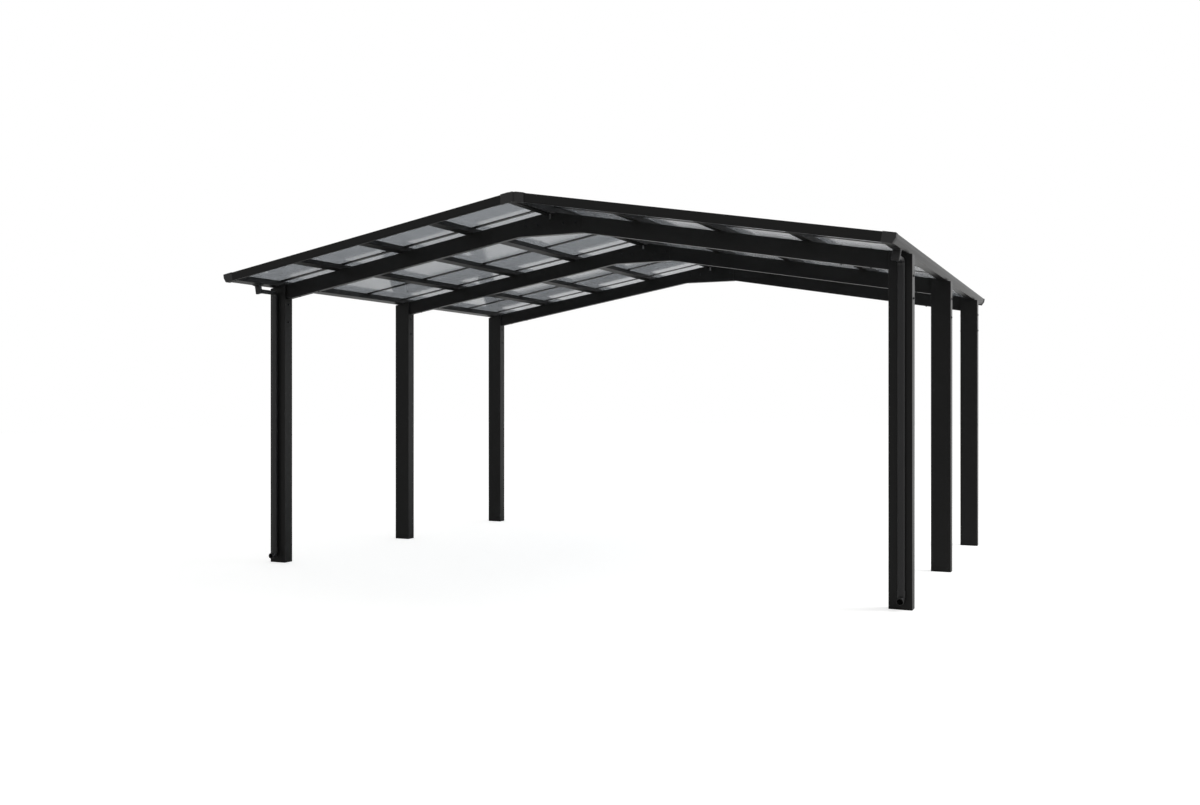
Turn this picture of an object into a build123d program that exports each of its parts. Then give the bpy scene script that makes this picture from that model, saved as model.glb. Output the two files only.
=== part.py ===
from build123d import *
import math
import os

# Double carport: three gabled frames of hollow aluminium profile carry a roof of
# tinted sheets. X runs across the gable, Y from the open front to the back, Z up.
# The origin is on the ground at the centre of the six posts. Millimetres.

# Posts
width_over_posts = 5540.0
post_width = 160.0
post_depth = 100.0
post_wall = 3.0
post_corner_radius = 4.0

# Roof form
roof_pitch = 9.8  # degrees
ridge_height = 2954.0  # where the two top faces of the roof would meet
eave_inset = 4.0  # outer lip of the gutter inside the posts' outer face
panel_pitch = 628.0
panels_per_bay = 3
bays = 2
end_overhang = 626.0  # from the centre of an end frame to the face of the verge

# Layers of the roof, square to the slope
cover_flange = 3.0  # upper and lower flange of a joint strip
strip_recess = 1.0  # a strip's top below the roof line
panel_thickness = 6.0
purlin_height = 42.0
beam_depth = 129.0
verge_depth = 68.0

# Frame members
beam_width = 50.0
beam_wall = 3.0
beam_corner_radius = 2.0
beam_end_gap = 16.0  # slot between the two beams of a frame, under the ridge
beam_end_plate = 3.0  # closes a rafter at that slot
connector_plate = 3.0
haunch_depth = 49.0  # flat bottom of the connector below the rafters at the centre line
connector_height = 122.0

# Purlins and ridge rails
purlin_width = 75.0
purlin_wall = 2.0
purlin_edge = 1.5  # broken outer edges
purlin_rows = 3
purlin_spacing = 656.0
ridge_width = 98.0  # over the two rails side by side
ridge_rail_wall = 2.5
notch_clearance = 0.3

# Panels and joint strips
panel_side_gap = 8.0
strip_width = 40.0
strip_web = 4.0
panel_ridge_gap = 22.0  # from the centre line to the upper edge of a panel
panel_eave_lap = 30.0  # how far a panel reaches over the gutter

# Gutter at the eave
gutter_width = 93.0  # inner face to outer lip
gutter_depth = 62.0
gutter_upright = 30.0  # upper band of the outer wall, square to the slope
gutter_floor_inset = 17.0  # under that band the outer wall leans in by this
gutter_wall = 2.5
gutter_lip = 9.0
gutter_groove = 5.0
gutter_groove_depth = 1.5
gutter_groove_drop = 13.0  # first of two grooves; the second ends the upright band

# Verge profile at both ends of the roof
verge_wall = 3.0
verge_top_flange = 38.0
verge_seat = 30.0
verge_bottom_lip = 14.0

# Moulded caps
cap_wall = 3.0
cap_depth = 46.0
cap_clearance = 0.3
cap_corner_radius = 5.0
ridge_cap_half_width = 97.0
ridge_cap_flat = 35.0
ridge_cap_stand = 6.0
ridge_cap_rib = 22.0
ridge_cap_rib_stand = 5.0
corner_cap_width = 86.0

# Ridge cover strip
ridge_cover_half_width = 65.0
ridge_cover_flat = 20.0
ridge_cover_sheet = 2.5

# Rainwater pipe
outlet_from_frame = 275.0  # outlet centre ahead of the front frame
outlet_width = 56.0  # across the gutter
outlet_length = 30.0
outlet_wall = 2.5
outlet_drop = 78.0
outlet_flange = 100.0
outlet_flange_edge = 3.0
outlet_flange_root = 10.0
outlet_corner_radius = 8.0
pipe_inset = 69.5  # centre of the pipe from the posts' outer face
pipe_width = 48.0
pipe_thickness = 34.0
pipe_wall = 2.0
pipe_corner_radius = 12.0
pipe_standoff = 7.0
pipe_bend_radius = 38.0
pipe_bend_angle = 90  # degrees
spout_post_gap = 0.5
spout_wall = 3.0  # around the socket in the mouth
spout_step = 1.0  # shoulder at the end of that socket
spout_socket_depth = 20.0
spout_height = 65.0  # centre of the mouth above the ground
spout_reach = 35.0  # mouth ahead of the pipe's front
spout_collar_height = 45.0
spout_collar_wall = 2.5
pipe_fit = 0.3

# Values worked out from the ones above
angle = math.radians(roof_pitch)
run = math.cos(angle)
fall = math.sin(angle)
frame_spacing = panel_pitch * panels_per_bay
frame_places = [(i - bays / 2) * frame_spacing for i in range(bays + 1)]
roof_half_length = frame_places[-1] + end_overhang
post_outer = width_over_posts / 2
post_inner = post_outer - post_width
eave_reach = post_outer - eave_inset
panel_top = -strip_recess - cover_flange
panel_bottom = panel_top - panel_thickness
purlin_top = panel_bottom - cover_flange
purlin_bottom = purlin_top - purlin_height
beam_bottom = purlin_bottom - beam_depth
rail_bottom = -verge_depth
gutter_bottom = -gutter_depth
gutter_lean = gutter_floor_inset / (gutter_depth - gutter_upright)
gutter_inner = eave_reach - gutter_width
panel_eave = gutter_inner + panel_eave_lap
verge_eave_end = eave_reach - corner_cap_width
member_half_length = roof_half_length - verge_wall - cap_clearance
reach = width_over_posts  # longer than any member, for cutting tools

# Section of the roof: local X down the right slope, local Y square to it
section_plane = Plane(
    origin=(0, 0, ridge_height), x_dir=(run, 0, -fall), z_dir=(0, -1, 0)
)
# Section of a rafter: local X towards the back, local Y square to the slope
cross_plane = Plane(
    origin=(0, 0, ridge_height), x_dir=(0, 1, 0), z_dir=(run, 0, -fall)
)
# Top face of the right slope
slope_plane = Plane(
    origin=(0, 0, ridge_height), x_dir=(run, 0, -fall), z_dir=(fall, 0, run)
)


def height_at(x, level):
    """Height above the ground at x of a layer that lies level below the roof line."""
    return ridge_height + level / run - abs(x) * fall / run


def along_roof(section, front, back):
    """Extrude a section drawn in the slope frame from front to back along Y."""
    placed = Plane(
        origin=(0, back, ridge_height),
        x_dir=section_plane.x_dir,
        z_dir=section_plane.z_dir,
    )
    return extrude(placed * section, amount=back - front)


def along_gable(section, front, back):
    """Extrude a section drawn in X and Z from front to back along Y."""
    placed = Plane(origin=(0, back, 0), x_dir=(1, 0, 0), z_dir=(0, -1, 0))
    return extrude(placed * section, amount=back - front)


def down_slope(section, inner, outer):
    """Extrude a section down the right slope: plumb at the ridge, square at the foot."""
    member = extrude(cross_plane * section, amount=outer / run)
    return member & Pos(inner + reach / 2, 0, ridge_height) * Box(reach, 2 * reach, reach)


def outline(points):
    """A face inside straight lines through the points."""
    return make_face(Polyline(*points, close=True))


def hollow(outer_section, wall):
    """Section of a closed profile with an even wall."""
    return outer_section - offset(outer_section, amount=-wall, kind=Kind.INTERSECTION)


def box_section(width, depth, wall, radius):
    """Section of a rectangular hollow profile with rounded corners."""
    return RectangleRounded(width, depth, radius) - Rectangle(width - 2 * wall, depth - 2 * wall)


def below_level(level):
    """Everything under a plane that lies level below the roof line, right side."""
    return slope_plane * Pos(0, 0, level - reach / 2) * Box(2 * reach, 2 * reach, reach)


def to_left(part):
    """The same piece on the left of the centre line."""
    return mirror(part, about=Plane.YZ)


def to_back(part):
    """The same piece at the other end of the roof."""
    return mirror(part, about=Plane.XZ)


def post(y):
    """Hollow upright with its top cut to the slope, closed, and notched as a seat for the gutter."""
    place = Pos(post_outer - post_width / 2, y, 0)
    body = extrude(place * RectangleRounded(post_width, post_depth, post_corner_radius), ridge_height)
    core = extrude(
        place * Rectangle(post_width - 2 * post_wall, post_depth - 2 * post_wall), ridge_height
    )
    seat_corner = Pos(gutter_inner / run + reach / 2, y, gutter_bottom + reach / 2)
    seat = slope_plane * seat_corner * Box(reach, reach, reach)
    return (body & below_level(purlin_bottom)) - seat - (core & below_level(gutter_bottom - post_wall))


def beam(y):
    """Hollow rafter from the post to the slot under the ridge, closed there, notched for the rail."""
    place = Pos(y, (purlin_bottom + beam_bottom) / 2)
    section = place * box_section(beam_width, beam_depth, beam_wall, beam_corner_radius)
    filled = place * RectangleRounded(beam_width, beam_depth, beam_corner_radius)
    end_plate = down_slope(filled, beam_end_gap / 2, post_outer) & (
        Pos((beam_end_gap + beam_end_plate) / 2, y, ridge_height) * Box(beam_end_plate, reach, reach)
    )
    rafter = down_slope(section, beam_end_gap / 2, post_outer) + end_plate
    notch_end = ridge_width / 2 + notch_clearance
    notch = outline(
        [
            (0, height_at(0, rail_bottom)),
            (notch_end, height_at(notch_end, rail_bottom)),
            (notch_end, ridge_height),
            (0, ridge_height),
        ]
    )
    beyond = Pos(post_inner + reach / 2, 0, ridge_height) * Box(reach, 2 * reach, 2 * reach)
    return rafter - along_gable(notch, y - beam_width, y + beam_width) - beyond


def ridge_connector(y):
    """Trough of plate that joins two rafters: flat underneath, open on top."""
    middle = height_at(0, beam_bottom) - haunch_depth + connector_height / 2
    length = 2 * (haunch_depth - connector_plate) * run / fall
    shell = Pos(0, y, middle) * Box(length, beam_width + 2 * connector_plate, connector_height)
    room = Pos(0, y, middle + connector_plate) * Box(length, beam_width, connector_height)
    return shell - room


def purlin(row):
    """Hollow rail along the roof, on top of the rafters."""
    inner = (ridge_width / 2 + row * purlin_spacing) / run
    outer_section = chamfer(Rectangle(purlin_width, purlin_height).vertices(), purlin_edge)
    room = Rectangle(purlin_width - 2 * purlin_wall, purlin_height - 2 * purlin_wall)
    place = Pos(inner + purlin_width / 2, (purlin_top + purlin_bottom) / 2)
    return along_roof(place * (outer_section - room), -member_half_length, member_half_length)


def ridge_rail():
    """Hollow rail beside the centre line, with both faces laid to the slope."""
    inner = beam_end_gap / 2
    outer = ridge_width / 2
    section = outline(
        [
            (inner, height_at(inner, purlin_top)),
            (outer, height_at(outer, purlin_top)),
            (outer, height_at(outer, rail_bottom)),
            (inner, height_at(inner, rail_bottom)),
        ]
    )
    half = roof_half_length - verge_bottom_lip - notch_clearance
    return along_gable(hollow(section, ridge_rail_wall), -half, half)


def gutter_outline(grow=0.0):
    """Outer edge of the gutter's section, grown by a clearance."""
    inner = gutter_inner / run - grow
    lip = eave_reach / run + grow
    foot = lip - gutter_floor_inset
    return [
        (inner, grow),
        (lip, grow),
        (lip, -gutter_upright),
        (foot, gutter_bottom - grow),
        (inner, gutter_bottom - grow),
    ]


def gutter_groove_outline(drop):
    """V groove in the outer wall of the gutter, from drop below its lip."""
    lip = eave_reach / run
    return outline(
        [
            (lip, -drop),
            (lip, -drop - gutter_groove),
            (lip - gutter_groove_depth, -drop - gutter_groove / 2),
        ]
    )


def gutter():
    """Open channel: upright inner wall, floor with a hole, and an outer wall that ends in a lip."""
    inner = gutter_inner / run
    lip = eave_reach / run
    floor = gutter_bottom + gutter_wall
    slant_wall = gutter_wall * math.hypot(1, gutter_lean)
    knee = -gutter_upright + (slant_wall - gutter_wall) / gutter_lean
    channel = outline(
        [
            (inner + gutter_wall, floor),
            (lip - gutter_floor_inset + gutter_lean * gutter_wall - slant_wall, floor),
            (lip - gutter_wall, knee),
            (lip - gutter_wall, -gutter_wall),
            (lip - gutter_lip, -gutter_wall),
            (lip - gutter_lip, gutter_wall),
            (inner - gutter_wall, gutter_wall),
            (inner - gutter_wall, purlin_top),
            (inner + gutter_wall, purlin_top),
        ]
    )
    section = outline(gutter_outline()) - channel
    section -= gutter_groove_outline(gutter_groove_drop)
    section -= gutter_groove_outline(gutter_upright - gutter_groove)
    return along_roof(section, -member_half_length, member_half_length) - outlet_bore()


def verge():
    """Edge profile at the front end: holds the end panel in a channel."""
    face = -roof_half_length
    section = outline(
        [
            (face, 0),
            (face + verge_top_flange, 0),
            (face + verge_top_flange, -cover_flange),
            (face + verge_wall, -cover_flange),
            (face + verge_wall, panel_bottom),
            (face + verge_wall + verge_seat, panel_bottom),
            (face + verge_wall + verge_seat, purlin_top),
            (face + verge_wall, purlin_top),
            (face + verge_wall, -verge_depth + verge_wall),
            (face + verge_bottom_lip, -verge_depth + verge_wall),
            (face + verge_bottom_lip, -verge_depth),
            (face, -verge_depth),
        ]
    )
    return down_slope(section, ridge_cap_flat, verge_eave_end - cap_clearance)


def panel(index):
    """One sheet of the right slope, counted from the front."""
    count = panels_per_bay * bays + 2
    first_joint = -frame_places[-1]
    near = first_joint + (index - 1) * panel_pitch + panel_side_gap / 2
    far = near + panel_pitch - panel_side_gap
    if index == 0:
        near = -member_half_length + verge_wall
    if index == count - 1:
        far = member_half_length - verge_wall
    section = Pos((near + far) / 2, (panel_top + panel_bottom) / 2) * Rectangle(
        far - near, panel_thickness
    )
    return down_slope(section, panel_ridge_gap, panel_eave)


def joint_strip(y):
    """H-shaped strip that takes the edges of two sheets."""
    middle = (panel_top + panel_bottom) / 2
    web = Rectangle(strip_web, panel_thickness + cover_flange)
    upper = Pos(0, (panel_thickness + cover_flange) / 2) * Rectangle(strip_width, cover_flange)
    lower = Pos(0, -(panel_thickness + cover_flange) / 2) * Rectangle(strip_width, cover_flange)
    section = Pos(y, middle) * (web + upper + lower)
    return down_slope(section, panel_ridge_gap, panel_eave)


def ridge_cover():
    """Folded strip over the upper edges of the panels."""
    side = ridge_cover_half_width
    top = -strip_recess + ridge_cover_sheet
    upper = [
        (-side, height_at(side, top)),
        (-ridge_cover_flat, height_at(ridge_cover_flat, top)),
        (ridge_cover_flat, height_at(ridge_cover_flat, top)),
        (side, height_at(side, top)),
    ]
    lower = [(x, z - ridge_cover_sheet / run) for x, z in reversed(upper)]
    half = roof_half_length - cap_depth
    return along_gable(outline(upper + lower), -half, half)


def gable_band(half_width, flat, top, bottom):
    """Outline of a band that follows both slopes, with a flat at the ridge."""
    return outline(
        [
            (-half_width, height_at(half_width, bottom)),
            (0, height_at(0, bottom)),
            (half_width, height_at(half_width, bottom)),
            (half_width, height_at(half_width, top)),
            (flat, height_at(flat, top)),
            (-flat, height_at(flat, top)),
            (-half_width, height_at(half_width, top)),
        ]
    )


def ridge_cap():
    """Moulded cap over the upper ends of the two front verges."""
    face = -roof_half_length - ridge_cap_stand
    back = -roof_half_length + cap_depth
    top = cap_wall + cap_clearance
    bottom = -verge_depth - cap_wall - cap_clearance
    shell = along_gable(gable_band(ridge_cap_half_width, ridge_cap_flat, top, bottom), face, back)
    room = along_gable(
        gable_band(2 * ridge_cap_half_width, ridge_cap_flat, cap_clearance, -verge_depth - cap_clearance),
        -roof_half_length - cap_clearance,
        2 * reach,
    )
    lower_back = along_gable(
        gable_band(2 * ridge_cap_half_width, ridge_cap_flat, -verge_depth, -2 * verge_depth),
        -roof_half_length + verge_bottom_lip,
        2 * reach,
    )
    rib = along_gable(
        gable_band(ridge_cap_rib / 2, ridge_cap_rib / 4, 0, -verge_depth), face - ridge_cap_rib_stand, face
    )
    return shell - room - lower_back + rib


def corner_cap():
    """Moulded end cap that closes the gutter and the lower end of the verge."""
    inner = verge_eave_end / run
    lip = eave_reach / run + cap_wall
    foot = lip - gutter_floor_inset
    outer = outline(
        [
            (inner, cap_wall),
            (lip, cap_wall),
            (lip, -gutter_upright),
            (foot, -verge_depth),
            (inner, -verge_depth),
        ]
    )
    outer = fillet(outer.vertices().sort_by(Axis.X)[-3:], cap_corner_radius)
    shell = along_roof(outer, -roof_half_length, -roof_half_length + cap_depth)
    pocket = along_roof(outline(gutter_outline(cap_clearance)), -member_half_length - cap_clearance, 0)
    sheet = down_slope(
        Pos(0, (panel_top + panel_bottom) / 2) * Rectangle(
            2 * (member_half_length - cap_clearance), panel_thickness + 2 * cap_clearance
        ),
        0,
        panel_eave + cap_clearance,
    )
    return shell - pocket - sheet


pipe_x = post_outer - pipe_inset
pipe_y = frame_places[0] - post_depth / 2 - pipe_standoff - pipe_thickness / 2
outlet_y = frame_places[0] - outlet_from_frame
outlet_back = outlet_y + outlet_length / 2
outlet_bottom = gutter_bottom - outlet_drop
pipe_depth = outlet_bottom + outlet_wall + pipe_thickness / 2 + pipe_width / 2 * fall
outlet_along = (pipe_x - pipe_depth * fall) / run
pipe_level = ridge_height - outlet_along * fall + pipe_depth * run
spout_y = pipe_y - pipe_thickness / 2 - spout_reach
spout_outer_radius = pipe_standoff + pipe_thickness / 2 - spout_post_gap
spout_socket_radius = spout_outer_radius - spout_wall


def outlet_column(inset, top, bottom):
    """Filled column of the outlet, square to the slope, inset from its outer faces."""
    section = RectangleRounded(
        outlet_width - 2 * inset, outlet_length - 2 * inset, outlet_corner_radius - inset
    )
    return extrude(slope_plane * Pos(outlet_along, outlet_y, bottom) * section, top - bottom)


def outlet_bore():
    """Room inside the outlet, up through the floor of the gutter."""
    return outlet_column(outlet_wall, gutter_bottom + 2 * gutter_wall, outlet_bottom + outlet_wall)


def gutter_outlet():
    """Sump under the gutter with a tapered flange, and a socket for the pipe."""
    half = outlet_flange / 2
    flange = extrude(
        cross_plane.offset(outlet_along - outlet_width / 2) * Pos(outlet_y, gutter_bottom) * outline(
            [
                (-half, 0),
                (half, 0),
                (half, -outlet_flange_edge),
                (outlet_length / 2, -outlet_flange_root),
                (-outlet_length / 2, -outlet_flange_root),
                (-half, -outlet_flange_edge),
            ]
        ),
        outlet_width,
    )
    pipe_hole = run_back(pipe_outline(pipe_fit), outlet_back - outlet_wall, outlet_back + outlet_wall)
    return flange + outlet_column(0, gutter_bottom, outlet_bottom) - outlet_bore() - pipe_hole


def pipe_outline(grow):
    """Outer section of the pipe, grown by grow all round."""
    return RectangleRounded(
        pipe_width + 2 * grow, pipe_thickness + 2 * grow, pipe_corner_radius + grow
    )


def run_back(section, front, back):
    """Filled level run of the pipe from front to back."""
    mouth = Plane(origin=(pipe_x, front, pipe_level), x_dir=(1, 0, 0), z_dir=(0, 1, 0))
    return extrude(mouth * section, back - front)


def pipe_body(section):
    """Filled pipe of this section from the outlet back to the post and down it."""
    bend_start = pipe_y - pipe_bend_radius
    bend_foot = pipe_level - pipe_bend_radius
    mouth = Plane(origin=(pipe_x, bend_start, pipe_level), x_dir=(1, 0, 0), z_dir=(0, 1, 0))
    bend = revolve(
        mouth * section, Axis((pipe_x, bend_start, bend_foot), (-1, 0, 0)), pipe_bend_angle
    )
    foot = spout_height + spout_collar_height
    upright = extrude(Pos(pipe_x, pipe_y, foot) * section, bend_foot - foot)
    return run_back(section, outlet_back - outlet_wall, bend_start) + bend + upright


def downpipe():
    """Hollow rainwater pipe, its inner corners cut by flats that touch the outer radius."""
    room = Rectangle(pipe_width - 2 * pipe_wall, pipe_thickness - 2 * pipe_wall)
    inner_section = chamfer(room.vertices(), (2 - math.sqrt(2)) * pipe_corner_radius)
    return pipe_body(pipe_outline(0)) - pipe_body(inner_section)


def elbow(radius):
    """Filled mitred bend from the foot of the pipe to the mouth of the spout."""
    corner = (pipe_x, pipe_y, spout_height)
    above = Plane(origin=corner, x_dir=(1, 0, 0), z_dir=(0, 1, 1)) * Pos(0, 0, reach / 2)
    below = Plane(origin=corner, x_dir=(1, 0, 0), z_dir=(0, -1, -1)) * Pos(0, 0, reach / 2)
    upright = extrude(Pos(pipe_x, pipe_y, 0) * Circle(radius), spout_height + spout_collar_height)
    back = Plane(
        origin=(pipe_x, pipe_y + spout_reach, spout_height), x_dir=(1, 0, 0), z_dir=(0, -1, 0)
    )
    forward = extrude(back * Circle(radius), pipe_y + spout_reach - spout_y)
    half_space = Box(reach, reach, reach)
    return (upright & (above * half_space)) + (forward & (below * half_space))


def spout():
    """Elbow at the foot of the pipe with a round socket in its mouth."""
    collar = extrude(
        Pos(pipe_x, pipe_y, spout_height + spout_collar_height / 2) * pipe_outline(spout_collar_wall),
        spout_collar_height,
    )
    pipe_room = extrude(
        Pos(pipe_x, pipe_y, spout_height + spout_collar_height) * pipe_outline(pipe_fit),
        spout_collar_height,
    )
    mouth = Plane(origin=(pipe_x, spout_y, spout_height), x_dir=(1, 0, 0), z_dir=(0, 1, 0))
    socket = extrude(mouth * Circle(spout_socket_radius), spout_socket_depth)
    outside = collar + elbow(spout_outer_radius)
    return outside - pipe_room - elbow(spout_socket_radius - spout_step) - socket


parts = {}
frame_names = ["front", "middle", "back"]
for name, y in zip(frame_names, frame_places):
    parts["post_" + name + "_right"] = post(y)
    parts["post_" + name + "_left"] = to_left(post(y))
    parts["beam_" + name + "_right"] = beam(y)
    parts["beam_" + name + "_left"] = to_left(beam(y))
    parts["ridge_connector_" + name] = ridge_connector(y)

for row in range(1, purlin_rows + 1):
    parts["purlin_right_" + str(row)] = purlin(row)
    parts["purlin_left_" + str(row)] = to_left(purlin(row))

parts["ridge_rails"] = Compound(children=[ridge_rail(), to_left(ridge_rail())])
parts["ridge_cover"] = ridge_cover()

for name, piece in {
    "gutter": gutter(),
    "verge_front": verge(),
    "verge_back": to_back(verge()),
    "corner_cap_front": corner_cap(),
    "corner_cap_back": to_back(corner_cap()),
    "gutter_outlet": gutter_outlet(),
    "downpipe": downpipe(),
    "spout": spout(),
}.items():
    parts[name + "_right"] = piece
    parts[name + "_left"] = to_left(piece)

parts["ridge_cap_front"] = ridge_cap()
parts["ridge_cap_back"] = to_back(ridge_cap())

panels = [panel(index) for index in range(panels_per_bay * bays + 2)]
strips = [
    joint_strip(-frame_places[-1] + index * panel_pitch)
    for index in range(panels_per_bay * bays + 1)
]
parts["roof_panels_right"] = Compound(children=panels)
parts["roof_panels_left"] = Compound(children=[to_left(piece) for piece in panels])
parts["joint_strips_right"] = Compound(children=strips)
parts["joint_strips_left"] = Compound(children=[to_left(piece) for piece in strips])

os.makedirs("parts", exist_ok=True)
for name, piece in parts.items():
    export_step(piece, os.path.join("parts", name + ".step"))
print(len(parts), "nodes")
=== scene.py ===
import math

import bpy
from mathutils import Matrix, Vector


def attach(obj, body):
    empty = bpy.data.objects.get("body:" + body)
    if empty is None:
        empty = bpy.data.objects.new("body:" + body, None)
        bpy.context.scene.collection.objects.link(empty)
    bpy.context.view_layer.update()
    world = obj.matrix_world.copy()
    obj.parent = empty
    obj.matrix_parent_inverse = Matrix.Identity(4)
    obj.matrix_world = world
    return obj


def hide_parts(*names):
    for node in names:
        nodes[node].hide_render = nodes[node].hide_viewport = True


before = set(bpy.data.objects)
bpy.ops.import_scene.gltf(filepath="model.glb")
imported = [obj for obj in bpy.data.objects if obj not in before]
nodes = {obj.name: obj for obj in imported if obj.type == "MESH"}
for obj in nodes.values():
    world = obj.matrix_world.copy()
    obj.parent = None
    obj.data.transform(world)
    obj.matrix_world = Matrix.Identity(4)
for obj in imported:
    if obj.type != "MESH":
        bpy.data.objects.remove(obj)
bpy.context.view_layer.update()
print("frame loaded:", len(nodes), "nodes")

# The roof as the frame has it, in metres and degrees
roof = {
    "pitch": 9.8,
    "ridgeHeight": 2.954,      # where the two top faces would meet
    "frameY": {"front": -1.884, "middle": 0.0, "back": 1.884},
    "panelPitch": 0.628,
    "jointCount": 7,
    "panelTop": -0.004,        # levels are square to the slope, down from the roof line
    "panelBottom": -0.010,
    "rafterTop": -0.055,
    "rafterBottom": -0.184,
}
sides = {"left": -1, "right": 1}
slope = math.radians(roof["pitch"])
sameSpot = 1e-6                # closer than this is the same place


def onSlope(x, y, level):
    # a point of the roof at x across and y along, level above the roof line
    height = roof["ridgeHeight"] + level / math.cos(slope) - abs(x) * math.tan(slope)
    return Vector((x, y, height))


def slopeMatrix(x, y, level):
    # local X down the slope, local Z square to it and upwards
    side = 1 if x > 0 else -1
    down = Vector((side * math.cos(slope), 0, -math.sin(slope)))
    up = Vector((side * math.sin(slope), 0, math.cos(slope)))
    turn = Matrix((down, up.cross(down), up)).transposed().to_4x4()
    return Matrix.Translation(onSlope(x, y, level)) @ turn


# Materials

def linear(code):
    # sRGB hex to linear colour
    shares = [int(code[i:i + 2], 16) / 255 for i in (1, 3, 5)]
    return tuple(c / 12.92 if c <= 0.04045 else ((c + 0.055) / 1.055) ** 2.4 for c in shares) + (1.0,)


def addNode(tree, kind, props=None, values=None, links=None):
    node = tree.nodes.new(kind)
    for name, value in (props or {}).items():
        setattr(node, name, value)
    for name, value in (values or {}).items():
        node.inputs[name].default_value = value
    for name, source in (links or {}).items():
        tree.links.new(source, node.inputs[name])
    return node


def newMaterial(name):
    material = bpy.data.materials.new(name)
    material.use_nodes = True
    material.node_tree.nodes.clear()
    return material, material.node_tree


powderCoatFinish = {
    "black": "#222222",        # near black
    "faded": "#272727",        # where the coat has chalked a little
    "dust": "#3b3a37",         # dry dust that settles on faces that look up
    "dustFrom": 0.75,          # how far up a face looks before dust stays on it
    "dustMost": 0.35,
    "roughness": 0.32,         # semi-matt, 30 to 35 gloss
    "smoother": 0.01,          # how the roughness changes from line to line
    "rougher": 0.02,
    "specular": 0.20,
    "purlinGloss": 0.35,       # share of the sheen on the profiles under the sheets, which are duller
    "peelSize": 0.0025,        # orange peel of a fine structure coat
    "peelStrength": 0.12,
    "peelHeight": 0.0004,
    "cloudSize": 0.45,         # slow change of tone along a profile
    "dieLine": 0.004,          # drawn wider than the real 0.3 mm so that it shows
    "dieLineAlong": 0.4,       # lines run the length of the profile
}


def powderCoatedAluminium(name, along, gloss=1.0):
    # extruded aluminium, black polyester powder coat: low sheen that turns bright at a grazing angle
    material, tree = newMaterial(name)
    finish = powderCoatFinish
    place = addNode(tree, "ShaderNodeTexCoord").outputs["Object"]
    clouds = addNode(
        tree, "ShaderNodeTexNoise",
        values={"Scale": 1 / finish["cloudSize"], "Detail": 3.0, "Roughness": 0.55},
        links={"Vector": place},
    )
    peel = addNode(
        tree, "ShaderNodeTexNoise",
        values={"Scale": 1 / finish["peelSize"], "Detail": 1.5, "Roughness": 0.5},
        links={"Vector": place},
    )
    stretch = [1 / finish["dieLine"]] * 3
    stretch[along] = finish["dieLineAlong"]
    lineSpace = addNode(tree, "ShaderNodeMapping", values={"Scale": stretch}, links={"Vector": place})
    dieLines = addNode(
        tree, "ShaderNodeTexNoise",
        values={"Scale": 1.0, "Detail": 2.0, "Roughness": 0.6},
        links={"Vector": lineSpace.outputs["Vector"]},
    )
    coat = addNode(
        tree, "ShaderNodeMix", {"data_type": "RGBA"},
        {6: linear(finish["black"]), 7: linear(finish["faded"])},
        {0: clouds.outputs["Fac"]},
    )
    normal = addNode(tree, "ShaderNodeNewGeometry").outputs["Normal"]
    normalParts = addNode(tree, "ShaderNodeSeparateXYZ", links={0: normal})
    upward = addNode(
        tree, "ShaderNodeMapRange", {"interpolation_type": "SMOOTHSTEP"},
        {"From Min": finish["dustFrom"], "From Max": 1.0, "To Max": finish["dustMost"]},
        {"Value": normalParts.outputs["Z"]},
    )
    dustPatch = addNode(
        tree, "ShaderNodeMath", {"operation": "MULTIPLY"},
        links={0: upward.outputs["Result"], 1: clouds.outputs["Fac"]},
    )
    colour = addNode(
        tree, "ShaderNodeMix", {"data_type": "RGBA"},
        {7: linear(finish["dust"])},
        {0: dustPatch.outputs["Value"], 6: coat.outputs[2]},
    )
    sheen = addNode(
        tree, "ShaderNodeMapRange",
        values={
            "From Min": 0.3,
            "From Max": 0.7,
            "To Min": finish["roughness"] - finish["smoother"],
            "To Max": finish["roughness"] + finish["rougher"],
        },
        links={"Value": dieLines.outputs["Fac"]},
    )
    dull = addNode(
        tree, "ShaderNodeMath", {"operation": "ADD", "use_clamp": True},
        links={0: sheen.outputs["Result"], 1: dustPatch.outputs["Value"]},
    )
    bump = addNode(
        tree, "ShaderNodeBump",
        values={"Strength": finish["peelStrength"], "Distance": finish["peelHeight"]},
        links={"Height": peel.outputs["Fac"]},
    )
    shader = addNode(
        tree, "ShaderNodeBsdfPrincipled",
        values={"Specular IOR Level": finish["specular"] * gloss},
        links={
            "Base Color": colour.outputs[2],
            "Roughness": dull.outputs["Value"],
            "Normal": bump.outputs["Normal"],
        },
    )
    addNode(tree, "ShaderNodeOutputMaterial", links={"Surface": shader.outputs[0]})
    return material


sheetFinish = {
    "tint": "#b9bdc2",         # colour that the way through the sheet leaves
    "dusty": "#b2b6ba",        # the same where fine dust lies
    "milky": 0.12,             # share that scatters, from the fine chambers
    "roughness": 0.12,
    "ior": 1.45,
    "dustSize": 0.30,
}


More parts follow.
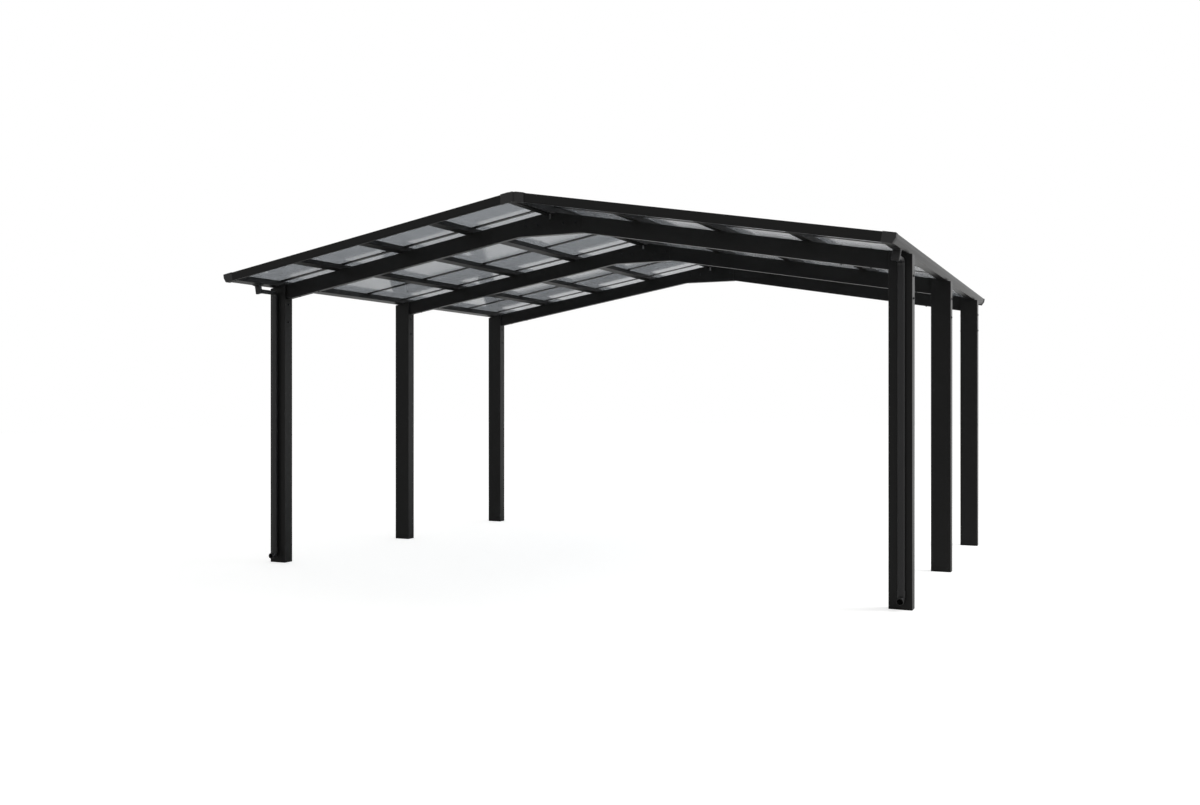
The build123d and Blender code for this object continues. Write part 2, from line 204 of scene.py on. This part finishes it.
def smokePolycarbonate(name):
    # polycarbonate sheet with a smoke tint: clear and glossy, mirrors the rafters at a flat angle
    material, tree = newMaterial(name)
    finish = sheetFinish
    place = addNode(tree, "ShaderNodeTexCoord").outputs["Object"]
    dust = addNode(
        tree, "ShaderNodeTexNoise",
        values={"Scale": 1 / finish["dustSize"], "Detail": 5.0, "Roughness": 0.7},
        links={"Vector": place},
    )
    tint = addNode(
        tree, "ShaderNodeMix", {"data_type": "RGBA"},
        {6: linear(finish["tint"]), 7: linear(finish["dusty"])},
        {0: dust.outputs["Fac"]},
    )
    sheet = addNode(
        tree, "ShaderNodeBsdfPrincipled",
        values={
            "IOR": finish["ior"],
            "Transmission Weight": 1 - finish["milky"],
            "Roughness": finish["roughness"],
        },
        links={"Base Color": tint.outputs[2]},
    )
    clear = addNode(tree, "ShaderNodeBsdfTransparent", links={"Color": tint.outputs[2]})
    lightPath = addNode(tree, "ShaderNodeLightPath")
    both = addNode(
        tree, "ShaderNodeMixShader",
        links={0: lightPath.outputs["Is Shadow Ray"], 1: sheet.outputs[0], 2: clear.outputs[0]},
    )
    addNode(tree, "ShaderNodeOutputMaterial", links={"Surface": both.outputs[0]})
    return material


mouldedFinish = {
    # weatherproof styrene plastic, spark-eroded grain
    "cap": {"dark": "#323233", "light": "#393939", "roughness": 0.55, "grain": 0.0012, "metal": 0.0},
    # extruded rigid vinyl, smoother and a little glossier
    "pipe": {"dark": "#262627", "light": "#2c2c2d", "roughness": 0.40, "grain": 0.0030, "metal": 0.0},
    # sealing rubber, dead matt
    "gasket": {"dark": "#0e0e0f", "light": "#141415", "roughness": 0.75, "grain": 0.0008, "metal": 0.0},
    # blackened steel
    "screw": {"dark": "#101113", "light": "#26272a", "roughness": 0.38, "grain": 0.0010, "metal": 0.6},
}
mouldedPattern = {
    "blotches": 14.0,          # changes of tone in a metre
    "roughnessSwing": 0.04,
    "grainStrength": 0.15,
    "grainHeight": 0.0003,
}


def mouldedPlastic(name, kind):
    # a plain dark plastic, rubber or blackened steel: even colour, fine grain, soft highlight
    material, tree = newMaterial(name)
    finish = mouldedFinish[kind]
    swing = mouldedPattern["roughnessSwing"]
    place = addNode(tree, "ShaderNodeTexCoord").outputs["Object"]
    blotch = addNode(
        tree, "ShaderNodeTexNoise",
        values={"Scale": mouldedPattern["blotches"], "Detail": 4.0, "Roughness": 0.6},
        links={"Vector": place},
    )
    grainNoise = addNode(
        tree, "ShaderNodeTexNoise",
        values={"Scale": 1 / finish["grain"], "Detail": 2.0},
        links={"Vector": place},
    )
    colour = addNode(
        tree, "ShaderNodeMix", {"data_type": "RGBA"},
        {6: linear(finish["dark"]), 7: linear(finish["light"])},
        {0: blotch.outputs["Fac"]},
    )
    sheen = addNode(
        tree, "ShaderNodeMapRange",
        values={
            "From Min": 0.35,
            "From Max": 0.65,
            "To Min": finish["roughness"] - swing,
            "To Max": finish["roughness"] + swing,
        },
        links={"Value": blotch.outputs["Fac"]},
    )
    bump = addNode(
        tree, "ShaderNodeBump",
        values={"Strength": mouldedPattern["grainStrength"], "Distance": mouldedPattern["grainHeight"]},
        links={"Height": grainNoise.outputs["Fac"]},
    )
    shader = addNode(
        tree, "ShaderNodeBsdfPrincipled",
        values={"Metallic": finish["metal"]},
        links={
            "Base Color": colour.outputs[2],
            "Roughness": sheen.outputs["Result"],
            "Normal": bump.outputs["Normal"],
        },
    )
    addNode(tree, "ShaderNodeOutputMaterial", links={"Surface": shader.outputs[0]})
    return material


# pale colours of the sawn metal, partly its own colour and partly a painted highlight
highlightSawnFinish = {
    "light": "#c4c6c8",
    "dark": "#a6a8aa",
    "roughness": 0.42,
    "toothMark": 0.0015,       # feed of the saw
    "markLength": 0.05,
    "markStrength": 0.3,
    "markHeight": 0.0002,
}


def highlightSawnAluminium(name):
    # bare aluminium where a coated profile was sawn off: pale metal with fine upright tooth marks; the
    # paleness is partly the metal's own colour and partly a painted highlight for the key light on the
    # rafter ends
    material, tree = newMaterial(name)
    finish = highlightSawnFinish
    place = addNode(tree, "ShaderNodeTexCoord").outputs["Object"]
    across = 1 / finish["toothMark"]
    space = addNode(
        tree, "ShaderNodeMapping",
        values={"Scale": (across, across, 1 / finish["markLength"])},
        links={"Vector": place},
    )
    marks = addNode(
        tree, "ShaderNodeTexNoise",
        values={"Scale": 1.0, "Detail": 2.0},
        links={"Vector": space.outputs["Vector"]},
    )
    colour = addNode(
        tree, "ShaderNodeMix", {"data_type": "RGBA"},
        {6: linear(finish["dark"]), 7: linear(finish["light"])},
        {0: marks.outputs["Fac"]},
    )
    bump = addNode(
        tree, "ShaderNodeBump",
        values={"Strength": finish["markStrength"], "Distance": finish["markHeight"]},
        links={"Height": marks.outputs["Fac"]},
    )
    shader = addNode(
        tree, "ShaderNodeBsdfPrincipled",
        values={"Metallic": 1.0, "Roughness": finish["roughness"]},
        links={"Base Color": colour.outputs[2], "Normal": bump.outputs["Normal"]},
    )
    addNode(tree, "ShaderNodeOutputMaterial", links={"Surface": shader.outputs[0]})
    return material


# The number is the axis that a profile runs along: 0 is X, 1 is Y and 2 is Z
coatOnUpright = powderCoatedAluminium("powderCoatUpright", 2)
coatOnRafter = powderCoatedAluminium("powderCoatRafter", 0)
coatOnRail = powderCoatedAluminium("powderCoatRail", 1)
coatOnPurlin = powderCoatedAluminium("powderCoatPurlin", 1, powderCoatFinish["purlinGloss"])
sheetMaterial = smokePolycarbonate("smokePolycarbonate")
capMaterial = mouldedPlastic("mouldedCapPlastic", "cap")
pipeMaterial = mouldedPlastic("extrudedPipeVinyl", "pipe")
gasketMaterial = mouldedPlastic("sealingRubber", "gasket")
screwMaterial = mouldedPlastic("blackenedSteel", "screw")
# the sawn ends' pale metal also serves as a painted highlight on the rafter ends
highlightSawnMaterial = highlightSawnAluminium("paintedHighlightSawnBareAluminium")

# Start of a node's name and its finish; the longest start that fits counts
finishes = {
    "post": coatOnUpright,
    "beam": coatOnRafter,
    "verge": coatOnRafter,
    "joint": coatOnRafter,
    "ridge_connector": coatOnRafter,
    "gutter": coatOnRail,
    "ridge_cover": coatOnRail,
    "purlin": coatOnPurlin,
    "ridge_rails": coatOnPurlin,
    "ridge_cap": capMaterial,
    "corner_cap": capMaterial,
    "gutter_outlet": pipeMaterial,
    "downpipe": pipeMaterial,
    "spout": pipeMaterial,
    "roof_panels": sheetMaterial,
}
for name, node in nodes.items():
    best = max((start for start in finishes if name.startswith(start)), key=len)
    node.data.materials.clear()
    node.data.materials.append(finishes[best])
print("materials on the frame")


# Modelling helpers

def startPiece():
    # object mode with nothing selected
    if bpy.context.object and bpy.context.object.mode != "OBJECT":
        bpy.ops.object.mode_set(mode="OBJECT")
    bpy.ops.object.select_all(action="DESELECT")


def finishPiece(piece, name, material, angle=35):
    piece.name = name
    piece.data.name = name
    piece.data.materials.clear()
    piece.data.materials.append(material)
    startPiece()
    piece.select_set(True)
    bpy.context.view_layer.objects.active = piece
    bpy.ops.object.transform_apply(location=True, rotation=True, scale=True)
    bpy.ops.object.shade_smooth_by_angle(angle=math.radians(angle))
    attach(piece, "root")
    return piece


def joinPieces(pieces):
    # the first one takes up the others
    startPiece()
    for piece in pieces:
        piece.select_set(True)
    bpy.context.view_layer.objects.active = pieces[0]
    bpy.ops.object.join()
    return pieces[0]


def copyTo(master, places):
    # one mesh with a copy of the master at each place; the master goes
    copies = []
    for place in places:
        copy = master.copy()
        copy.data = master.data.copy()
        copy.data.transform(place)
        bpy.context.scene.collection.objects.link(copy)
        copies.append(copy)
    whole = joinPieces(copies)
    bpy.data.objects.remove(master)
    return whole


def roundEdges(piece, width, segments, angle=30):
    # a bevel on edges that turn by more than angle degrees
    edge = piece.modifiers.new("edge", "BEVEL")
    edge.width = width
    edge.segments = segments
    edge.limit_method = "ANGLE"
    edge.angle_limit = math.radians(angle)


def applyAll(piece):
    startPiece()
    piece.select_set(True)
    bpy.context.view_layer.objects.active = piece
    for modifier in list(piece.modifiers):
        bpy.ops.object.modifier_apply(modifier=modifier.name)


def facing(direction, place):
    # a matrix that turns local Z to the direction and moves to the place
    return Matrix.Translation(place) @ Vector(direction).to_track_quat("Z", "Y").to_matrix().to_4x4()


def selectFaces(piece, test):
    # selects the faces that pass the test and ends in edit mode
    bpy.ops.mesh.select_mode(type="FACE")
    bpy.ops.mesh.select_all(action="DESELECT")
    bpy.ops.object.mode_set(mode="OBJECT")
    for face in piece.data.polygons:
        face.select = test(face)
    bpy.ops.object.mode_set(mode="EDIT")


def roundedBlock(size, centre, radius, segments, axis=2):
    # a block whose four edges along the axis are rounded, left in edit mode
    startPiece()
    bpy.ops.mesh.primitive_cube_add(size=1, location=centre, scale=size)
    block = bpy.context.object
    bpy.ops.object.transform_apply(location=True, scale=True)
    others = [i for i in range(3) if i != axis]
    for edge in block.data.edges:
        a, b = (block.data.vertices[i].co for i in edge.vertices)
        edge.select = all(abs(a[i] - b[i]) < sameSpot for i in others)
    for face in block.data.polygons:
        face.select = False
    bpy.ops.object.mode_set(mode="EDIT")
    bpy.ops.mesh.select_mode(type="EDGE")
    bpy.ops.mesh.bevel(offset=radius, segments=segments)
    return block


# Hexagon heads

bolt = {
    "acrossCorners": 0.0150,
    "headHeight": 0.0055,
    "crownEdge": 0.0009,
    "flange": 0.0105,
    "flangeHeight": 0.0018,
    "flangeEdge": 0.0006,
    "flangeSides": 24,
    "segments": 2,
}
boltRows = {
    "outerFace": 2.770,        # outer and inner face of a post
    "innerFace": 2.610,
    "postHeights": (2.268, 2.115),
    "rafterX": (2.483, 2.277),
    "connectorX": (0.220, 0.115),
    "connectorHeight": 2.800,
    "connectorFace": 0.028,    # half thickness of the connector
}


def hexHead():
    startPiece()
    bpy.ops.mesh.primitive_cylinder_add(
        vertices=bolt["flangeSides"],
        radius=bolt["flange"],
        depth=bolt["flangeHeight"],
        location=(0, 0, bolt["flangeHeight"] / 2),
    )
    flange = bpy.context.object
    roundEdges(flange, bolt["flangeEdge"], bolt["segments"])
    applyAll(flange)
    startPiece()
    bpy.ops.mesh.primitive_cylinder_add(
        vertices=6,
        radius=bolt["acrossCorners"] / 2,
        depth=bolt["headHeight"],
        location=(0, 0, bolt["flangeHeight"] + bolt["headHeight"] / 2),
    )
    head = bpy.context.object
    roundEdges(head, bolt["crownEdge"], bolt["segments"])
    applyAll(head)
    return joinPieces([flange, head])


for frameName, y in roof["frameY"].items():
    places = []
    for side in sides.values():
        for height in boltRows["postHeights"]:
            places.append(facing((side, 0, 0), (side * boltRows["outerFace"], y, height)))
            places.append(facing((-side, 0, 0), (side * boltRows["innerFace"], y, height)))
        for x in boltRows["rafterX"]:
            up = Vector((side * math.sin(slope), 0, math.cos(slope)))
            places.append(facing(up, onSlope(side * x, y, roof["rafterTop"])))
            places.append(facing(-up, onSlope(side * x, y, roof["rafterBottom"])))
        for x in boltRows["connectorX"]:
            for face in (-1, 1):
                spot = (side * x, y + face * boltRows["connectorFace"], boltRows["connectorHeight"])
                places.append(facing((0, face, 0), spot))
    finishPiece(copyTo(hexHead(), places), "bolts_" + frameName, screwMaterial)
print("bolts")


# Sawn ends of the rafters in the slot under the ridge: thin pale plates, partly bare metal and partly a
# painted highlight for the key light that falls there

highlightSawnEnd = {
    "x": 0.0077,
    "thick": 0.0006,
    "halfWidth": 0.0235,
    "bottom": 2.775,
    "top": 2.882,
    "corner": 0.003,
    "cornerSteps": 4,
}
highlightSawnSize = (highlightSawnEnd["thick"], 2 * highlightSawnEnd["halfWidth"], highlightSawnEnd["top"] - highlightSawnEnd["bottom"])
highlightSawnMiddle = (highlightSawnEnd["bottom"] + highlightSawnEnd["top"]) / 2
# pale plates on the rafter ends: bare metal and a painted highlight for the key light in the slot
for frameName, y in roof["frameY"].items():
    plates = []
    for side in sides.values():
        centre = (side * highlightSawnEnd["x"], y, highlightSawnMiddle)
        plates.append(roundedBlock(highlightSawnSize, centre, highlightSawnEnd["corner"], highlightSawnEnd["cornerSteps"], axis=0))
    finishPiece(joinPieces(plates), "highlight_sawn_ends_" + frameName, highlightSawnMaterial)
print("sawn ends")


# Rubber beads beside the joint strips

bead = {
    "halfWidth": 0.0085,
    "height": 0.0027,
    "sides": 12,
    "offset": 0.0205,          # from the middle of the joint
    "ridgeX": 0.024,
    "eaveX": 2.700,
    "smoothAngle": 60,
}


def rubberBead():
    # a lip down one slope: low and rounded, flat side on the sheet
    length = (bead["eaveX"] - bead["ridgeX"]) / math.cos(slope)
    startPiece()
    bpy.ops.mesh.primitive_cylinder_add(vertices=bead["sides"], radius=bead["halfWidth"], depth=length)
    lip = bpy.context.object
    centre = (0, 0, 0)
    flatten = (1, 1, bead["height"] / bead["halfWidth"])
    bpy.ops.object.mode_set(mode="EDIT")
    bpy.ops.mesh.select_all(action="SELECT")
    bpy.ops.transform.rotate(value=math.pi / 2, orient_axis="Y", center_override=centre)
    bpy.ops.transform.resize(value=flatten, center_override=centre)
    bpy.ops.mesh.bisect(plane_co=centre, plane_no=(0, 0, 1), use_fill=True, clear_inner=True)
    bpy.ops.object.mode_set(mode="OBJECT")
    return lip


joints = [roof["frameY"]["front"] + i * roof["panelPitch"] for i in range(roof["jointCount"])]
beadX = (bead["ridgeX"] + bead["eaveX"]) / 2
upsideDown = Matrix.Rotation(math.pi, 4, "X")
for sideName, side in sides.items():
    places = []
    for y in joints:
        for edge in (-1, 1):
            beadY = y + edge * bead["offset"]
            places.append(slopeMatrix(side * beadX, beadY, roof["panelTop"]))
            places.append(slopeMatrix(side * beadX, beadY, roof["panelBottom"]) @ upsideDown)
    lips = copyTo(rubberBead(), places)
    finishPiece(lips, "gaskets_" + sideName, gasketMaterial, bead["smoothAngle"])
print("gaskets")


# Spouts at the foot of the pipes

spout = {
    "x": 2.7005,
    "pipeY": -1.958,
    "mouthY": -2.010,
    "height": 0.065,
    "outer": 0.0235,
    "wall": 0.003,
    "bend": 0.0245,
    "bendSteps": 14,
    "segments": 40,
    "lipEdge": 0.0008,
    "lipAngle": 60,
    "doubles": 0.00001,
    "edgeSteps": 2,
}
collar = {
    "width": 0.053,
    "depth": 0.039,
    "corner": 0.0145,
    "cornerSteps": 8,
    "bottom": 0.0875,
    "top": 0.1325,
    "wall": 0.0023,
    "room": 0.0215,            # depth that the pipe goes in
    "floor": 0.0220,           # where the bend starts, down from the top
    "rimEdge": 0.0009,
    "rimAngle": 50,
}


def smoothBend(x):
    # a round tube from inside the collar, down and forward to the mouth
    s = spout
    start = collar["top"] - collar["floor"]
    startPiece()
    bpy.ops.mesh.primitive_circle_add(
        vertices=s["segments"],
        radius=s["outer"],
        fill_type="NOTHING",
        location=(x, s["pipeY"], start),
    )
    tube = bpy.context.object
    bpy.ops.object.transform_apply(location=True)
    bpy.ops.object.mode_set(mode="EDIT")
    bpy.ops.mesh.select_all(action="SELECT")
    drop = s["height"] + s["bend"] - start
    bpy.ops.mesh.extrude_region_move(TRANSFORM_OT_translate={"value": (0, 0, drop)})
    hinge = (x, s["pipeY"] - s["bend"], s["height"] + s["bend"])
    bpy.ops.mesh.spin(steps=s["bendSteps"], angle=math.pi / 2, center=hinge, axis=(1, 0, 0))
    straight = s["mouthY"] - (s["pipeY"] - s["bend"])
    bpy.ops.mesh.extrude_region_move(TRANSFORM_OT_translate={"value": (0, straight, 0)})
    bpy.ops.mesh.select_all(action="SELECT")
    bpy.ops.mesh.remove_doubles(threshold=s["doubles"])
    bpy.ops.mesh.normals_make_consistent(inside=False)
    bpy.ops.object.mode_set(mode="OBJECT")
    wall = tube.modifiers.new("wall", "SOLIDIFY")
    wall.thickness = s["wall"]
    wall.offset = -1
    roundEdges(tube, s["lipEdge"], s["edgeSteps"], s["lipAngle"])
    applyAll(tube)
    return tube


def pipeCollar(x):
    # a rounded block, hollowed from above to take the pipe
    c = collar
    size = (c["width"], c["depth"], c["top"] - c["bottom"])
    centre = (x, spout["pipeY"], (c["bottom"] + c["top"]) / 2)
    block = roundedBlock(size, centre, c["corner"], c["cornerSteps"])
    selectFaces(block, lambda face: face.normal.z > 0.9)
    bpy.ops.mesh.inset(thickness=c["wall"])
    bpy.ops.mesh.extrude_region_move(TRANSFORM_OT_translate={"value": (0, 0, -c["room"])})
    bpy.ops.object.mode_set(mode="OBJECT")
    roundEdges(block, c["rimEdge"], spout["edgeSteps"], c["rimAngle"])
    applyAll(block)
    return block


for sideName, side in sides.items():
    x = side * spout["x"]
    elbow = joinPieces([smoothBend(x), pipeCollar(x)])
    finishPiece(elbow, "spout_moulded_" + sideName, pipeMaterial)
    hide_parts("spout_" + sideName)
print("spouts")


# Outlets under the gutters

outlet = {
    "x": 2.7098,               # middle of the flange's top, on the gutter's floor
    "y": -2.159,
    "level": -0.062,
    "width": 0.056,
    "length": 0.030,
    "drop": 0.078,
    "wall": 0.0025,
    "corner": 0.008,
    "cornerSteps": 6,
    "footEdge": 0.0016,
    "footSteps": 3,
    "footAngle": 50,
}
outletFlange = {
    "length": 0.100,
    "edge": 0.0015,
    "root": 0.0110,            # depth where it has run into the column
    "corner": 0.010,
    "cornerSteps": 5,
    "rootWidth": 0.82,         # share of the flange that is left at its root
    "rootLength": 0.30,
    "rimEdge": 0.0005,
    "rimSteps": 2,
}


def mouldedOutlet(side):
    # a flange that tapers into a hollow rounded column, square to the slope
    o = outlet
    columnSize = (o["width"], o["length"], o["drop"])
    column = roundedBlock(columnSize, (0, 0, -o["drop"] / 2), o["corner"], o["cornerSteps"])
    selectFaces(column, lambda face: face.normal.z > 0.9)
    bpy.ops.mesh.inset(thickness=o["wall"])
    bpy.ops.mesh.extrude_region_move(TRANSFORM_OT_translate={"value": (0, 0, o["wall"] - o["drop"])})
    bpy.ops.object.mode_set(mode="OBJECT")
    roundEdges(column, o["footEdge"], o["footSteps"], o["footAngle"])
    applyAll(column)
    f = outletFlange
    flangeSize = (o["width"], f["length"], f["edge"])
    flange = roundedBlock(flangeSize, (0, 0, -f["edge"] / 2), f["corner"], f["cornerSteps"])
    selectFaces(flange, lambda face: face.normal.z < -0.9)
    bpy.ops.mesh.extrude_region_move(TRANSFORM_OT_translate={"value": (0, 0, f["edge"] - f["root"])})
    bpy.ops.transform.resize(value=(f["rootWidth"], f["rootLength"], 1), center_override=(0, 0, 0))
    bpy.ops.object.mode_set(mode="OBJECT")
    roundEdges(flange, f["rimEdge"], f["rimSteps"])
    applyAll(flange)
    whole = joinPieces([flange, column])
    whole.data.transform(slopeMatrix(side * o["x"], o["y"], o["level"]))
    return whole


for sideName, side in sides.items():
    piece = finishPiece(mouldedOutlet(side), "outlet_moulded_" + sideName, pipeMaterial)
    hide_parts("gutter_outlet_" + sideName)
print("outlets")


# Studio

studio = {
    "floor": "#c6c6c4",
    "floorSize": 80,
    "floorMiddle": (0, 20, 0),
    "cameraLift": 0.70,        # added where the camera sees the floor, so that it runs into the white
    "mirrorLift": 0.45,        # the same for mirror rays, growing to the back so that fronts stay dark
    "mirrorFrom": 1.0,
    "mirrorTo": 14.0,
    "worldFront": 0.40,        # what shines from behind the camera
    "worldBack": 0.84,
    "turnFrom": -0.35,         # where the world changes from front to back, as a share of Y
    "turnTo": 0.55,
    "key": (8.0, 1.5, 9.0),
    "keyTarget": (0, 0, 1.2),
    "keySize": 5.0,
    "keyPower": 660,
}
white = (1.0, 1.0, 1.0, 1.0)


def paleFloor():
    # matt pale floor that turns white for the camera and, behind the carport, for mirror rays
    material, tree = newMaterial("paleFloor")
    place = addNode(tree, "ShaderNodeTexCoord").outputs["Object"]
    placeParts = addNode(tree, "ShaderNodeSeparateXYZ", links={0: place})
    lightPath = addNode(tree, "ShaderNodeLightPath")
    behind = addNode(
        tree, "ShaderNodeMapRange", {"interpolation_type": "SMOOTHSTEP"},
        {"From Min": studio["mirrorFrom"], "From Max": studio["mirrorTo"]},
        {"Value": placeParts.outputs["Y"]},
    )
    mirrored = addNode(
        tree, "ShaderNodeMath", {"operation": "MULTIPLY"},
        links={0: behind.outputs["Result"], 1: lightPath.outputs["Is Glossy Ray"]},
    )
    seen = addNode(
        tree, "ShaderNodeMath", {"operation": "MULTIPLY"},
        {1: studio["cameraLift"]},
        {0: lightPath.outputs["Is Camera Ray"]},
    )
    lift = addNode(
        tree, "ShaderNodeMath", {"operation": "MULTIPLY_ADD"},
        {1: studio["mirrorLift"]},
        {0: mirrored.outputs["Value"], 2: seen.outputs["Value"]},
    )
    matt = addNode(tree, "ShaderNodeBsdfDiffuse", values={"Color": linear(studio["floor"])})
    glow = addNode(
        tree, "ShaderNodeEmission",
        values={"Color": white},
        links={"Strength": lift.outputs["Value"]},
    )
    both = addNode(tree, "ShaderNodeAddShader", links={0: matt.outputs[0], 1: glow.outputs[0]})
    addNode(tree, "ShaderNodeOutputMaterial", links={"Surface": both.outputs[0]})
    return material


def studioWorld():
    # soft white light, stronger from behind the carport; white where it is seen as such
    world = bpy.data.worlds.new("studio")
    world.use_nodes = True
    tree = world.node_tree
    tree.nodes.clear()
    lightPath = addNode(tree, "ShaderNodeLightPath")
    direction = addNode(tree, "ShaderNodeTexCoord").outputs["Generated"]
    directionParts = addNode(tree, "ShaderNodeSeparateXYZ", links={0: direction})
    gradient = addNode(
        tree, "ShaderNodeMapRange", {"interpolation_type": "SMOOTHSTEP"},
        {
            "From Min": studio["turnFrom"],
            "From Max": studio["turnTo"],
            "To Min": studio["worldFront"],
            "To Max": studio["worldBack"],
        },
        {"Value": directionParts.outputs["Y"]},
    )
    backdropSeen = addNode(
        tree, "ShaderNodeMath", {"operation": "MAXIMUM"},
        links={0: lightPath.outputs["Is Camera Ray"], 1: lightPath.outputs["Is Transmission Ray"]},
    )
    strength = addNode(
        tree, "ShaderNodeMath", {"operation": "MAXIMUM"},
        links={0: gradient.outputs["Result"], 1: backdropSeen.outputs["Value"]},
    )
    background = addNode(
        tree, "ShaderNodeBackground",
        values={"Color": white},
        links={"Strength": strength.outputs["Value"]},
    )
    addNode(tree, "ShaderNodeOutputWorld", links={"Surface": background.outputs[0]})
    return world


startPiece()
bpy.ops.mesh.primitive_plane_add(size=studio["floorSize"], location=studio["floorMiddle"])
floor = bpy.context.object
floor.name = "floor"
bpy.ops.object.transform_apply(location=True)
floor.data.materials.append(paleFloor())
bpy.context.scene.world = studioWorld()

keyData = bpy.data.lights.new("keySoftBox", "AREA")
keyData.size = studio["keySize"]
keyData.energy = studio["keyPower"]
keyLamp = bpy.data.objects.new("keySoftBox", keyData)
keyLamp.location = studio["key"]
keyAim = Vector(studio["keyTarget"]) - Vector(studio["key"])
keyLamp.rotation_euler = keyAim.to_track_quat("-Z", "Y").to_euler()
bpy.context.scene.collection.objects.link(keyLamp)

camera = {"place": (4.0519, -9.7004, 1.4074), "turn": 24.927, "lens": 33.66, "sensor": 36}
cameraData = bpy.data.cameras.new("camera")
cameraData.lens = camera["lens"]
cameraData.sensor_width = camera["sensor"]
cameraObject = bpy.data.objects.new("camera", cameraData)
cameraObject.location = camera["place"]
cameraObject.rotation_euler = (math.pi / 2, 0, math.radians(camera["turn"]))
bpy.context.scene.collection.objects.link(cameraObject)
bpy.context.scene.camera = cameraObject
bpy.context.scene.view_settings.view_transform = "Standard"
print("studio")
